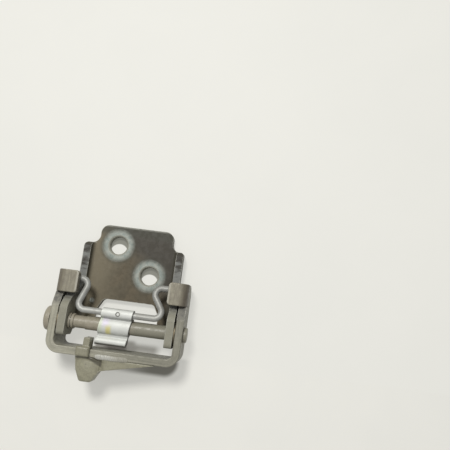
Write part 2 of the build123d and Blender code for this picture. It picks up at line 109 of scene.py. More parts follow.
class Graph:
    """A shader node tree, with short calls for the nodes that the finishes use."""

    def __init__(self, tree: Tree) -> None:
        """Keep the tree that the nodes go into."""
        self.tree = tree

    def node(self, kind: str, **settings: Any) -> Node:
        """Add a node.

        Args:
            kind: Blender's name of the node type.
            **settings: Properties to set on the node.

        Returns:
            The new node.
        """
        made = self.tree.nodes.new(kind)
        for name, value in settings.items():
            setattr(made, name, value)
        return made

    def feed(self, target: Socket, value: Any) -> None:
        """Link a socket to an input, or set the input to a value.

        Args:
            target: Input socket.
            value: Output socket, number, vector or colour.
        """
        if isinstance(value, Socket):
            self.tree.links.new(value, target)
        else:
            if target.type == "RGBA" and len(value) == 3:
                value = (*value, 1.0)
            target.default_value = value

    def fill(self, node: Node, **values: Any) -> Node:
        """Feed a node's inputs, named with underscores for spaces, and return the node."""
        for name, value in values.items():
            self.feed(node.inputs[name.replace("_", " ")], value)
        return node

    def listed(self, node: Node, values: Iterable[Any]) -> Node:
        """Feed a node's first inputs in their order, and return the node."""
        for target, value in zip(node.inputs, values):
            self.feed(target, value)
        return node

    def math(self, operation: str, *values: Any, clamp: bool = False) -> Socket:
        """Return the result of a Math node."""
        made = self.node("ShaderNodeMath", operation=operation, use_clamp=clamp)
        return self.listed(made, values).outputs[0]

    def add(self, a: Any, b: Any) -> Socket:
        """Return a sum."""
        return self.math("ADD", a, b)

    def subtract(self, a: Any, b: Any) -> Socket:
        """Return the first value less the second."""
        return self.math("SUBTRACT", a, b)

    def multiply(self, *values: Any) -> Any:
        """Return the product of all the values."""
        return reduce(lambda a, b: self.math("MULTIPLY", a, b), values)

    def apart(self, a: Any, b: Any) -> Socket:
        """Return how far two values are apart."""
        return self.math("ABSOLUTE", self.subtract(a, b))

    def beyond(self, value: Any, limit: Any) -> Socket:
        """Return how far a value is over a limit, or zero."""
        return self.math("MAXIMUM", self.subtract(value, limit), 0.0)

    def combine(self, *values: Any) -> Socket:
        """Return a vector of up to three numbers, zero for those left out."""
        return self.listed(self.node("ShaderNodeCombineXYZ"), values).outputs[0]

    def stretched(self, values: Iterable[Any], scales: Iterable[Any]) -> Socket:
        """Return a vector of three values, each times its own scale."""
        return self.combine(*(self.multiply(value, scale) for value, scale in zip(values, scales)))

    def measure(self, operation: str, *vectors: Any) -> Socket:
        """Return the number that a Vector Math node gives."""
        return self.listed(self.node("ShaderNodeVectorMath", operation=operation), vectors).outputs["Value"]

    def length(self, a: Any, b: Any) -> Socket:
        """Return the length of a vector of two numbers."""
        return self.measure("LENGTH", self.combine(a, b))

    def blend(self, factor: Any, a: Any, b: Any, how: str = "MIX") -> Socket:
        """Return a mix of two colours.

        Args:
            factor: 0 gives the first colour, 1 the second.
            a: First colour.
            b: Second colour.
            how: Blend type.

        Returns:
            The mixed colour.
        """
        made = self.node("ShaderNodeMix", data_type="RGBA", blend_type=how)
        for index, value in ((0, factor), (6, a), (7, b)):
            self.feed(made.inputs[index], value)
        return made.outputs[2]

    def lay(self, under: Any, colour: Any, *masks: Any) -> Socket:
        """Return a colour with another laid over it, as far as the product of the masks says."""
        return self.blend(self.multiply(*masks), under, colour)

    def ramp(self, value: Any, low: Any, high: Any, start: Any = 0.0, end: Any = 1.0) -> Socket:
        """Return a smooth step from start to end, as a value goes from low to high."""
        made = self.node("ShaderNodeMapRange", interpolation_type="SMOOTHSTEP")
        return self.listed(made, (value, low, high, start, end)).outputs[0]

    def between(self, value: Any, span: Span, blur: float) -> Socket:
        """Return a mask that is high between two limits, blurred by so much to both sides of each."""
        low, high = span
        return self.multiply(self.ramp(value, low - blur, low + blur),
                             self.ramp(value, high + blur, high - blur))

    def noise(self, scale: Any, detail: float = 3.0, rough: float = 0.55, warp: float = 0.0,
              place: Any = None) -> Socket:
        """Return noise round one half. The place is that in the part's frame if none is given."""
        return self.fill(self.node("ShaderNodeTexNoise"), Vector=place or self.place(), Scale=scale,
                         Detail=detail, Roughness=rough, Distortion=warp).outputs[0]

    def drift(self, scale: float, amount: Any, detail: float = 3.0, rough: float = 0.55) -> Socket:
        """Return noise round zero, times an amount. The scale is in features per metre."""
        return self.multiply(self.subtract(self.noise(scale, detail, rough), 0.5), amount)

    def place(self) -> Socket:
        """Return the coordinates in the part's frame."""
        return self.node("ShaderNodeTexCoord").outputs["Object"]

    def xyz(self) -> list[Socket]:
        """Return X, Y and Z in the part's frame."""
        return list(self.listed(self.node("ShaderNodeSeparateXYZ"), [self.place()]).outputs)

    def from_pin(self) -> Socket:
        """Return Y measured from the pin."""
        return self.subtract(self.xyz()[1], PIN.y)


@dataclass(frozen=True)
class EffectShape:
    """Steps, shares and ratios inside the shared effects. Scales are features per metre."""

    break_scale: float = 400.0
    break_step: Span = (0.3, 0.68)
    small_ratio: float = 5.3
    small_step: Span = (0.35, 0.66)
    cover: Span = (0.25, 0.95)
    darkening_scale: float = 420.0
    darkening_spread: Step = (0.2, 0.7, 0.55, 1.0)
    peel_ratio: float = 0.35
    peel_share: float = 0.6
    grain_share: float = 0.4
    pit_ratio: float = 0.3
    pit_size: Step = (0.06, 0.2, 1.0, 0.0)
    pit_scale: float = 260.0
    pit_step: Span = (0.52, 0.66)
    pit_depth: float = 0.6
    scratch_step: Span = (0.58, 0.7)
    wobble_scale: float = 260.0


class Effects:
    """Node groups that several finishes share. Each is built once, when it is first used."""

    shape: EffectShape = EffectShape()

    def __init__(self) -> None:
        """Start with no groups."""
        self.built: dict[str, Tree] = {}

    def use(self, graph: Graph, effect: Callable[[Graph, Any], dict[str, Socket]], **values: Any) -> Any:
        """Place the node group of an effect, building it if it is new.

        Args:
            graph: The graph that uses it.
            effect: Adds the group's nodes after its inputs, and returns its outputs by name.
            **values: All the group's inputs, named with underscores for spaces.

        Returns:
            The outputs of the group's node.
        """
        name = effect.__name__
        if name not in self.built:
            tree = bpy.data.node_groups.new(name, "ShaderNodeTree")
            inner = Graph(tree)
            for label in values:
                tree.interface.new_socket(name=label.replace("_", " "), in_out="INPUT",
                                          socket_type="NodeSocketFloat")
            results = effect(inner, inner.node("NodeGroupInput").outputs)
            for label in results:
                tree.interface.new_socket(name=label, in_out="OUTPUT", socket_type="NodeSocketFloat")
            inner.fill(inner.node("NodeGroupOutput"), **results)
            self.built[name] = tree
        made = graph.node("ShaderNodeGroup", node_tree=self.built[name])
        return graph.fill(made, **values).outputs

    def worn_edges(self, graph: Graph, given: Any) -> dict[str, Socket]:
        """Mark rubbed edges, where the rounded normal leaves the flat one, broken up by noise."""
        rounded = graph.fill(graph.node("ShaderNodeBevel", samples=6), Radius=given["Width"])
        flat = graph.node("ShaderNodeNewGeometry")
        same = graph.measure("DOT_PRODUCT", rounded.outputs[0], flat.outputs["Normal"])
        breaks = graph.noise(self.shape.break_scale, detail=4.0, rough=0.65)
        gain = graph.multiply(given["Amount"], graph.ramp(breaks, *self.shape.break_step))
        return {"Mask": graph.math("MULTIPLY", graph.subtract(1.0, same), gain, clamp=True)}

    def patches(self, graph: Graph, given: Any) -> dict[str, Socket]:
        """Make soft patches, large and small."""
        large = graph.noise(given["Scale"], detail=4.0, rough=0.6, warp=0.4)
        finer = graph.multiply(given["Scale"], self.shape.small_ratio)
        small = graph.noise(finer, detail=5.0, rough=0.65)
        return {"Large": graph.ramp(large, given["Low"], given["High"]),
                "Small": graph.ramp(small, *self.shape.small_step)}

    def corner_darkening(self, graph: Graph, given: Any) -> dict[str, Socket]:
        """Mark darkening in corners and gaps, from how far what is near covers the surface."""
        near = graph.fill(graph.node("ShaderNodeAmbientOcclusion", samples=8), Distance=given["Reach"])
        covered = graph.ramp(graph.subtract(1.0, near.outputs["AO"]), *self.shape.cover)
        patchy = graph.noise(self.shape.darkening_scale, detail=4.0, rough=0.6)
        darkening = graph.multiply(covered, graph.ramp(patchy, *self.shape.darkening_spread))
        return {"Mask": graph.math("MULTIPLY", darkening, given["Amount"], clamp=True)}

    def paint_skin(self, graph: Graph, given: Any) -> dict[str, Socket]:
        """Make the fine skin of paint: its height with orange peel, grain and pits."""
        shape = self.shape
        peel = graph.noise(graph.multiply(given["Scale"], shape.peel_ratio), detail=2.0, rough=0.5)
        grain = graph.noise(given["Scale"], detail=4.0, rough=0.7)
        cells = graph.fill(graph.node("ShaderNodeTexVoronoi"), Vector=graph.place(),
                           Scale=graph.multiply(given["Scale"], shape.pit_ratio))
        pits = graph.multiply(graph.ramp(cells.outputs["Distance"], *shape.pit_size),
                              graph.ramp(graph.noise(shape.pit_scale, detail=2.0), *shape.pit_step))
        height = graph.add(graph.multiply(peel, shape.peel_share),
                           graph.multiply(grain, shape.grain_share))
        return {"Height": graph.subtract(height, graph.multiply(pits, shape.pit_depth)),
                "Pits": pits, "Grain": grain}

    def drawn_lines(self, graph: Graph, given: Any) -> dict[str, Socket]:
        """Make fine lines along one direction, as drawing or rolling leaves."""
        place = graph.stretched(graph.xyz(), (given["Along " + axis] for axis in "XYZ"))
        lines = graph.noise(1.0, detail=4.0, rough=0.65, place=place)
        return {"Lines": lines, "Scratches": graph.ramp(lines, *self.shape.scratch_step)}

    def round_mark(self, graph: Graph, given: Any) -> dict[str, Socket]:
        """Mark a round spot in the XY plane, and measure the distance from its centre."""
        x, y, _ = graph.xyz()
        far = graph.length(graph.subtract(x, given["Centre X"]), graph.subtract(y, given["Centre Y"]))
        wobble = graph.drift(self.shape.wobble_scale, given["Wobble"], detail=4.0, rough=0.6)
        edge, outer, fade = graph.add(far, wobble), given["Outer"], given["Fade"]
        return {"Mask": graph.ramp(edge, graph.subtract(outer, fade), graph.add(outer, fade), 1.0, 0.0),
                "Distance": far}


# Finishes


@dataclass(frozen=True)
class RoundMark:
    """A round mark: its radius, half the width of its soft rim, and how far the rim wanders."""

    outer: float
    fade: float
    wobble: float


@dataclass(frozen=True)
class Zone:
    """A part of a surface with its own colour. The step gives how far the colour covers at each value."""

    step: Step
    colour: Colour


class Finish:
    """A material with its shader and the shared effects. Each kind of finish has its own build."""

    def __init__(self, name: str, effects: Effects, tones: Any) -> None:
        """Start a material with an empty Principled shader, and build the finish.

        Args:
            name: The material's name.
            effects: The shared node groups.
            tones: Colours and texture of this kind of finish.
        """
        self.material = bpy.data.materials.new(name)
        self.material.use_nodes = True
        self.graph = Graph(self.material.node_tree)
        self.shader = self.graph.tree.nodes["Principled BSDF"]
        self.effects = effects
        self.tones = tones
        self.build()

    def build(self) -> None:
        """Feed the shader."""
        raise NotImplementedError

    def set(self, **values: Any) -> None:
        """Feed the shader's inputs, named with underscores for spaces."""
        self.graph.fill(self.shader, **values)

    def scaled(self, colour: Any, factor: Socket) -> Socket:
        """Return a colour made lighter or darker by a factor."""
        grey = self.graph.listed(self.graph.node("ShaderNodeCombineColor"), (factor, factor, factor))
        return self.graph.blend(1.0, colour, grey.outputs[0], "MULTIPLY")

    def bump(self, height: Any, strength: float, depth: float) -> None:
        """Give the shader a normal bumped by a height of 0 to 1, for a relief of so many metres."""
        made = self.graph.node("ShaderNodeBump")
        self.set(Normal=self.graph.fill(made, Strength=strength, Distance=depth, Height=height).outputs[0])

    def effect(self, effect: Callable[[Graph, Any], dict[str, Socket]], **values: Any) -> Any:
        """Place a shared effect, feed its inputs by name, and return its outputs."""
        return self.effects.use(self.graph, effect, **values)

    def mark(self, centre: Span, mark: RoundMark) -> list[Socket]:
        """Return the mask of a round mark at X and Y, and the distance from its centre."""
        return list(self.effect(self.effects.round_mark, Centre_X=centre[0], Centre_Y=centre[1],
                                Outer=mark.outer, Fade=mark.fade, Wobble=mark.wobble))

    def drawn(self, scales: Triple) -> Any:
        """Return the outputs of drawn lines, with so many features per metre along X, Y and Z."""
        return self.effect(self.effects.drawn_lines, **dict(zip(("Along_X", "Along_Y", "Along_Z"), scales)))

    def patches(self) -> Any:
        """Return the outputs of the patches that the tones ask for."""
        low, high = self.tones.patch_step
        return self.effect(self.effects.patches, Scale=self.tones.patch_scale, Low=low, High=high)

    def skin(self) -> Any:
        """Return the outputs of the paint's skin that the tones ask for."""
        return self.effect(self.effects.paint_skin, Scale=self.tones.skin_scale)

    def darkening(self) -> Socket:
        """Return the mask of the corner darkening that the tones ask for."""
        return self.effect(self.effects.corner_darkening, Reach=self.tones.darkening_reach,
                           Amount=self.tones.darkening_amount)["Mask"]

    def zoned(self, colour: Any, value: Socket, zone: Zone) -> Socket:
        """Return a colour with a zone laid over it, as far as the zone's step of the value says."""
        return self.graph.lay(colour, zone.colour, self.graph.ramp(value, *zone.step))


@dataclass(frozen=True)
class PrimerTones:
    """Colours and wear of thin primer on pressed steel. Scales are features per metre."""

    main: Colour
    warm: Colour
    dark: Colour
    darkening: Colour = (0.045, 0.040, 0.030)
    worn: Colour = (0.42, 0.41, 0.36)
    patch_scale: float = 95.0
    patch_step: Span = (0.38, 0.62)
    warm_share: float = 0.5
    dark_share: float = 0.35
    wear_width: float = 0.55 * MM
    wear_amount: float = 3.2
    worn_metal: float = 0.5
    darkening_reach: float = 6.0 * MM
    darkening_amount: float = 0.75
    darkening_roughness: float = 0.25
    grain: Step = (0.2, 0.8, 0.86, 1.14)
    pit_share: float = 0.6
    roughness: float = 0.47
    smoother: float = 0.07
    rougher: float = 0.1
    specular: float = 0.5
    bump: float = 0.25
    bump_depth: float = 0.12 * MM
    skin_scale: float = 2400.0


class PrimedSteel(Finish):
    """Thin primer over pressed steel: mixed tones, darker in the corners, rubbed edges."""

    tones: PrimerTones

    def build(self) -> None:
        """Lay grain, pits, corner darkening and wear over the ground colour, and feed the shader."""
        graph, tones = self.graph, self.tones
        self.large, self.small = self.patches()
        skin, darkening = self.skin(), self.darkening()
        worn = self.effect(self.effects.worn_edges, Width=tones.wear_width, Amount=tones.wear_amount)["Mask"]
        colour = self.scaled(self.ground(), graph.ramp(skin["Grain"], *tones.grain))
        colour = graph.lay(colour, tones.darkening, skin["Pits"], tones.pit_share)
        colour = graph.lay(colour, tones.darkening, darkening)
        colour = graph.lay(colour, tones.worn, worn)
        rough = self.varied((tones.roughness - tones.smoother, tones.roughness + tones.rougher))
        self.set(Base_Color=colour, Roughness=graph.add(rough, graph.multiply(darkening, tones.darkening_roughness)),
                 Metallic=graph.multiply(worn, tones.worn_metal), Specular_IOR_Level=tones.specular)
        self.bump(skin["Height"], tones.bump, tones.bump_depth)

    def varied(self, shares: Span) -> Socket:
        """Return a value that goes from the first share to the second over the small patches."""
        return self.graph.ramp(self.small, 0.0, 1.0, *shares)

    def ground(self) -> Socket:
        """Return the primer's colour before wear and corner darkening."""
        tones = self.tones
        warmed = self.graph.lay(tones.main, tones.warm, self.large, tones.warm_share)
        return self.graph.lay(warmed, tones.dark, self.small, tones.dark_share)


@dataclass(frozen=True)
class BracketZones:
    """Places on the bracket where the tone differs: X from the origin, Y from the pin."""

    drift_scale: float = 240.0
    drift: float = 2.0 * MM
    front_z: Span = (10.0 * MM, 19.0 * MM)
    along: Step = (-34.0 * MM, 38.0 * MM, 1.06, 0.70)
    # painted shade on the arms' front edges just under the tabs
    tab_shade_y: Span = (6.5 * MM, 11.5 * MM)
    tab_shade_shares: Span = (0.55, 0.9)
    tab_shade_colour: Colour = (0.080, 0.078, 0.070)
    tab_y: Span = (15.6 * MM, 16.8 * MM)
    tab_colour: Colour = (0.240, 0.222, 0.165)
    patch_share: float = 0.45
    patch_colour: Colour = (0.14, 0.13, 0.10)
    streak_scales: Triple = (800.0, 90.0, 90.0)
    streaks: Zone = Zone((0.42, 0.66, 0.0, 0.7), (0.150, 0.132, 0.100))
    tab_middle: float = -0.2 * MM
    free_edge: Zone = Zone((27.6 * MM, 28.4 * MM, 0.75, 0.0), (0.37, 0.355, 0.30))
    free_face: Zone = Zone((26.9 * MM, 27.1 * MM, 0.8, 0.0), (0.090, 0.080, 0.060))
    # painted shade over the tabs' folds, where they curve away
    left_fold_shade: Zone = Zone((-38.4 * MM, -33.8 * MM, 0.85, 0.0), (0.115, 0.100, 0.075))
    right_fold_shade: Zone = Zone((31.6 * MM, 38.4 * MM, 0.0, 0.9), (0.060, 0.048, 0.034))
    cut_edge_z: Span = (22.5 * MM, 22.9 * MM)
    cut_tone: Span = (0.84, 1.13)
    cut_scales: Triple = (1500.0, 60.0, 60.0)
    cut_step: Span = (0.34, 0.64)
    bend_half: float = 31.5 * MM
    bend_y: float = -11.1 * MM


class BracketPrimer(PrimedSteel):
    """Primer of the U bracket, darker on the right and browner on the tabs."""

    zones: BracketZones = BracketZones()

    def ground(self) -> Socket:
        """Return the primer's colour with the drift along X, the painted shade on the arms under the tabs
        and the brown tabs.
        """
        graph, zones = self.graph, self.zones
        x, _, z = graph.xyz()
        drift = graph.drift(zones.drift_scale, zones.drift)
        from_pin = graph.add(graph.from_pin(), drift)
        front = graph.ramp(graph.add(z, drift), *zones.front_z)
        colour = self.scaled(super().ground(), graph.ramp(x, *zones.along))
        colour = self.scaled(colour, self.cut_lines())
        # painted shade on the arms just under the tabs
        tab_shade = graph.ramp(from_pin, *zones.tab_shade_y)
        colour = graph.lay(colour, zones.tab_shade_colour, tab_shade, self.varied(zones.tab_shade_shares), front)
        return graph.lay(colour, self.brown(x, drift), graph.ramp(from_pin, *zones.tab_y), front)

    def brown(self, x: Socket, drift: Socket) -> Socket:
        """Return the colour of the tabs.

        Args:
            x: X in the part's frame.
            drift: Noise that breaks up the borders.

        Returns:
            Brown with streaks and pale along the free edges, with painted shade over the folds.
        """
        graph, zones = self.graph, self.zones
        lines = self.drawn(zones.streak_scales)["Lines"]
        out, ragged = graph.apart(x, zones.tab_middle), graph.add(x, drift)
        brown = graph.lay(zones.tab_colour, zones.patch_colour, self.small, zones.patch_share)
        # the folds get painted shade
        for value, zone in ((lines, zones.streaks), (out, zones.free_edge), (out, zones.free_face),
                            (ragged, zones.left_fold_shade), (ragged, zones.right_fold_shade)):
            brown = self.zoned(brown, value, zone)
        return brown

    def cut_lines(self) -> Socket:
        """Return the tone of the fine lines that run round the U on the strip's cut front edge."""
        graph, zones = self.graph, self.zones
        x, y, z = graph.xyz()
        depth = graph.length(graph.beyond(graph.apart(x, BRACKET_MIDDLE), zones.bend_half),
                             graph.beyond(PIN.y + zones.bend_y, y))
        lines = graph.noise(1.0, rough=0.6, place=graph.stretched((depth, x, y), zones.cut_scales))
        low, high = (graph.ramp(z, *zones.cut_edge_z, 1.0, tone) for tone in zones.cut_tone)
        return graph.ramp(lines, *zones.cut_step, low, high)


@dataclass(frozen=True)
class LugZones:
    """Places on the lug where the tone differs or shade is painted. A line between two places borders the
    painted shade in the pocket.
    """

    pocket_start: Span = (-15.2 * MM, -59.4 * MM)
    pocket_end: Span = (-6.2 * MM, -64.0 * MM)
    lug_shade_colour: Colour = (0.070, 0.065, 0.046)
    pocket_shade_share: float = 0.85
    line_rim: Span = (-0.6 * MM, 0.6 * MM)
    web_y: Span = (-58.8 * MM, -59.4 * MM)
    left_x: Span = (-16.2 * MM, -14.2 * MM)
    right_x: Span = (-5.0 * MM, -6.0 * MM)
    joint_shadow_y: float = -60.0 * MM
    joint_shadow: Step = (0.2 * MM, 1.0 * MM, 0.6, 0.0)
    joint_shadow_x: Step = (-13.2 * MM, -11.2 * MM, 1.0, 0.0)
    cap_y: Span = (-60.0 * MM, -58.5 * MM)
    cap_shares: Span = (0.45, 1.0)
    cap_colour: Colour = (0.205, 0.196, 0.142)


class LugPrimer(PrimedSteel):
    """Primer of the forged lug, with painted shade in the pocket beside its root and a painted shadow under
    the cap along its joint with the web.
    """

    zones: LugZones = LugZones()

    def ground(self) -> Socket:
        """Return the primer's colour with the cap, the painted shadow under it and the painted shade in the
        pocket.
        """
        graph, zones = self.graph, self.zones
        x, y, _ = graph.xyz()
        cap = graph.ramp(y, *zones.cap_y)
        colour = graph.lay(super().ground(), zones.cap_colour, cap, self.varied(zones.cap_shares))
        # painted shadow under the cap's edge, along its joint with the web
        joint_shadow = graph.ramp(graph.apart(y, zones.joint_shadow_y), *zones.joint_shadow)
        colour = graph.lay(colour, zones.lug_shade_colour, joint_shadow, graph.ramp(x, *zones.joint_shadow_x))
        # painted shade in the pocket beside the root
        (left, top), (right, low) = zones.pocket_start, zones.pocket_end
        slope = (low - top) / (right - left)
        line = graph.add(graph.multiply(x, slope), top - slope * left)
        return graph.lay(colour, zones.lug_shade_colour, graph.ramp(graph.subtract(y, line), *zones.line_rim),
                         graph.ramp(y, *zones.web_y), graph.ramp(x, *zones.left_x),
                         graph.ramp(x, *zones.right_x), zones.pocket_shade_share)


@dataclass(frozen=True)
class LeafZones:
    """Places on the leaf where the tone differs. Y is from the pin for the sides' pale end and the ears."""

    drift_scale: float = 60.0
    drift: float = 16.0 * MM
    left: Zone = Zone((-26.0 * MM, -4.0 * MM, 0.85, 0.0), (0.180, 0.158, 0.110))
    far: Zone = Zone((-6.0 * MM, 14.0 * MM, 0.0, 0.85), (0.050, 0.047, 0.040))
    side_inner: float = 26.7 * MM
    fold_drift: float = 0.06
    fold_shade: Zone = Zone((0.0, 3.3 * MM, 0.9, 0.0), (0.045, 0.042, 0.031))
    halo_colour: Colour = (0.058, 0.058, 0.045)
    halo_reach: float = 3.6 * MM
    halo_share: float = 0.6
    far_edge: Zone = Zone((12.5 * MM, 17.0 * MM, 0.0, 0.75), halo_colour)
    bolt_half: Span = (11.0 * MM, 8.4 * MM)
    ring: RoundMark = RoundMark(9.3 * MM, 2.0 * MM, 1.2 * MM)
    ring_colour: Colour = (0.25, 0.29, 0.27)
    ring_pale: Colour = (0.35, 0.37, 0.335)
    bore: Zone = Zone((6.2 * MM, 6.9 * MM, 1.0, 0.0), (0.26, 0.26, 0.22))
    spot: Span = (-22.0 * MM, -27.4 * MM)
    spot_mark: RoundMark = RoundMark(1.4 * MM, 0.4 * MM, 0.4 * MM)
    mark_share: float = 0.9
    rim_y: Span = (19.3 * MM, 20.1 * MM)
    rim_shares: Span = (0.4, 0.85)
    rim_wear_and_highlight: Colour = (0.24, 0.24, 0.21)
    side_top: Step = (7.4 * MM, 8.8 * MM, 0.0, 0.9)
    band_scales: Triple = (90.0, 300.0, 90.0)
    band_step: Span = (0.42, 0.60)
    pale_sides: Step = (46.0 * MM, 31.0 * MM, -0.08, 0.09)
    blotch_and_reflection_dark: Colour = (0.048, 0.045, 0.038)
    blotch_and_reflection_pale: Colour = (0.185, 0.19, 0.18)
    ear_y: Step = (9.5 * MM, 16.5 * MM, 1.0, 0.0)
    ear_z: Span = (5.0 * MM, 10.0 * MM)
    ear_patches: float = 0.3
    ear_colour: Colour = (0.225, 0.218, 0.172)


class LeafPrimer(PrimedSteel):
    """Primer of the leaf: brown plate with painted shade in its folds, olive ears, blotchy side edges with
    painted reflections, and bright washer rings.
    """

    zones: LeafZones = LeafZones()

    def ground(self) -> Socket:
        """Return the leaf's colour, with its zones, rings, edges and ears."""
        graph, zones = self.graph, self.zones
        _, _, z = graph.xyz()
        colour = self.edges(self.rings(self.plate(super().ground())))
        olive = graph.lay(zones.ear_colour, zones.bore.colour, self.small, zones.ear_patches)
        return graph.lay(colour, olive, graph.ramp(graph.from_pin(), *zones.ear_y),
                         graph.ramp(z, *zones.ear_z))

    def plate(self, colour: Socket) -> Socket:
        """Return the plate's colour: paler on the left, dark at the far right, painted shade in the folds,
        and dark at the far edge.

        Args:
            colour: The primer's colour.

        Returns:
            The plate's colour.
        """
        graph, zones = self.graph, self.zones
        x, y, _ = graph.xyz()
        drift = graph.drift(zones.drift_scale, zones.drift)
        across = graph.add(x, drift)
        inward = graph.subtract(zones.side_inner, graph.apart(x, BRACKET_MIDDLE))
        inward = graph.add(inward, graph.multiply(drift, zones.fold_drift))
        # the folds beside the sides get painted shade
        for value, zone in ((across, zones.left), (graph.add(across, y), zones.far),
                            (inward, zones.fold_shade), (y, zones.far_edge)):
            colour = self.zoned(colour, value, zone)
        return colour

    def rings(self, colour: Socket) -> Socket:
        """Return the colour with the rings that the bolts' washers left, and the small round spot.

        Args:
            colour: The plate's colour.

        Returns:
            The colour with both rings, the pale bores and the spot.
        """
        graph, zones = self.graph, self.zones
        ring = graph.lay(zones.ring_pale, zones.ring_colour, self.small)
        reach = zones.ring.outer + zones.halo_reach
        for side in (1, -1):
            mask, far = self.mark((side * zones.bolt_half[0], -side * zones.bolt_half[1]), zones.ring)
            halo = graph.ramp(far, zones.ring.outer, reach, zones.halo_share, 0.0)
            colour = graph.lay(colour, zones.halo_colour, halo)
            colour = graph.lay(colour, ring, mask, zones.mark_share)
            colour = self.zoned(colour, far, zones.bore)
        spot, _ = self.mark(zones.spot, zones.spot_mark)
        return graph.lay(colour, zones.ring_pale, spot, zones.mark_share)

    def edges(self, colour: Socket) -> Socket:
        """Return the colour with the pale rim of the free end, partly rubbed wear and partly painted
        highlight, and the blotchy tops of the sides, partly painted reflections.

        Args:
            colour: The plate's colour.

        Returns:
            The colour with the edges.
        """
        graph, zones = self.graph, self.zones
        _, y, z = graph.xyz()
        rim = graph.ramp(y, *zones.rim_y)
        # pale rim: partly rubbed wear, partly a painted highlight on the edge
        colour = graph.lay(colour, zones.rim_wear_and_highlight, rim, self.varied(zones.rim_shares))
        pale = graph.ramp(graph.from_pin(), *zones.pale_sides)
        bands = graph.add(self.drawn(zones.band_scales)["Lines"], pale)
        # the pale and dark bands are partly blotchy paint, partly painted reflections
        blotch_and_reflection = graph.lay(zones.blotch_and_reflection_dark, zones.blotch_and_reflection_pale, graph.ramp(bands, *zones.band_step))
        return graph.lay(colour, blotch_and_reflection, graph.ramp(z, *zones.side_top))


class PinPrimer(PrimedSteel):
    """Primer of the pin, browner on the left and more olive on the right."""

    right: Zone = Zone((2.0 * MM, 12.0 * MM, 0.0, 0.85), (0.195, 0.190, 0.150))

    def ground(self) -> Socket:
        """Return the primer's colour, drifting along the pin."""
        return self.zoned(super().ground(), self.graph.xyz()[0], self.right)


@dataclass(frozen=True)
class MetalTones:
    """Colours and texture of bare or plated metal. Scales are features per metre."""

    main: Colour
    stain: Colour
    darkening: Colour = (0.05, 0.045, 0.035)
    roughness: float = 0.32
    smoother: float = 0.05
    rougher: float = 0.08
    patch_roughness: float = 0.06
    metallic: float = 1.0
    stain_share: float = 0.35
    patch_scale: float = 160.0
    patch_step: Span = (0.38, 0.62)
    line_scales: Triple = (400.0, 5200.0, 5200.0)
    line_step: Span = (0.3, 0.7)
    line_bump: float = 0.12
    line_depth: float = 0.06 * MM
    scratch_share: float = 0.25
    darkening_amount: float = 0.5
    darkening_reach: float = 3.0 * MM


class BareMetal(Finish):
    """Plated or bare metal with fine lines and stains, darker in the corners near its neighbours."""

    tones: MetalTones

    def build(self) -> None:
        """Lay stains, scratches, the piece's own marks and corner darkening over the metal, and feed the
        shader.
        """
        graph, tones = self.graph, self.tones
        large, small = self.patches()
        drawn = self.drawn(tones.line_scales)
        colour = graph.lay(tones.main, tones.stain, large, tones.stain_share)
        colour = graph.lay(colour, tones.stain, drawn["Scratches"], tones.scratch_share)
        colour = graph.lay(self.marked(colour), tones.darkening, self.darkening())
        rough = graph.ramp(drawn["Lines"], *tones.line_step, tones.roughness - tones.smoother,
                           tones.roughness + tones.rougher)
        rough = graph.add(rough, graph.multiply(small, tones.patch_roughness))
        self.set(Base_Color=colour, Roughness=rough, Metallic=self.metal())
        self.bump(drawn["Lines"], tones.line_bump, tones.line_depth)

    def marked(self, colour: Socket) -> Socket:
        """Return the colour with the marks of this piece, none here."""
        return colour

    def metal(self) -> Any:
        """Return how metallic the surface is."""
        return self.tones.metallic


class SpringWire(BareMetal):
    """Greyed spring wire, with painted shade making the legs darker than the run beside the pin."""

    leg_shade: Step = (8.5 * MM, 13.0 * MM, 1.0, 0.80)

    def marked(self, colour: Socket) -> Socket:
        """Return the colour with the painted shade on the legs."""
        return self.scaled(colour, self.graph.ramp(self.graph.from_pin(), *self.leg_shade))


@dataclass(frozen=True)
class PaintSpot:
    """A spot on the clip between an ellipse and a rectangle, by its middle and half sizes in XY.

    Its rim is where the scaled distance from the middle makes it full, and where it is gone.
    """

    middle: Span
    half: Span
    colour: Colour
    rim: Span
    share: float


@dataclass(frozen=True)
class ClipMarks:
    """Marks on the clip, and shade painted on it. Y is from the pin for the lip and the creases."""

    dimple: Span = (-0.5 * MM, -33.4 * MM)
    dimple_mark: RoundMark = RoundMark(1.4 * MM, 0.18 * MM, 0.1 * MM)
    dimple_shade_ring: Span = (0.6 * MM, 1.0 * MM)
    dimple_shade_share: float = 0.8
    lip: Step = (-10.9 * MM, -10.0 * MM, 1.0, 0.0)
    right_edge: float = 7.2 * MM
    right_skew: float = 0.135
    right_rim: Span = (-0.45 * MM, -0.2 * MM)
    shaded: Colour = (0.085, 0.080, 0.068)
    shaded_share: float = 0.85
    crease_shades: Triple = (4.3 * MM, -5.5 * MM, 10.7 * MM)
    crease_shade: Step = (0.3 * MM, 1.9 * MM, 0.72, 1.0)
    top_z: Span = (17.0 * MM, 18.5 * MM)
    rag_scale: float = 900.0
    rag: float = 0.6
    tints: tuple[PaintSpot, ...] = (
        PaintSpot((-10.4 * MM, -40.4 * MM), (1.5 * MM, 5.5 * MM), (0.54, 0.61, 0.42), (0.2, 1.3), 0.5),
        PaintSpot((-7.3 * MM, -38.9 * MM), (2.2 * MM, 2.4 * MM), (0.62, 0.56, 0.72), (0.1, 1.4), 0.7))
    dab: PaintSpot = PaintSpot(
        (-5.35 * MM, -43.9 * MM), (1.8 * MM, 3.5 * MM), (0.62, 0.57, 0.25), (0.35, 1.35), 0.95)
    dab_metallic: float = 0.1


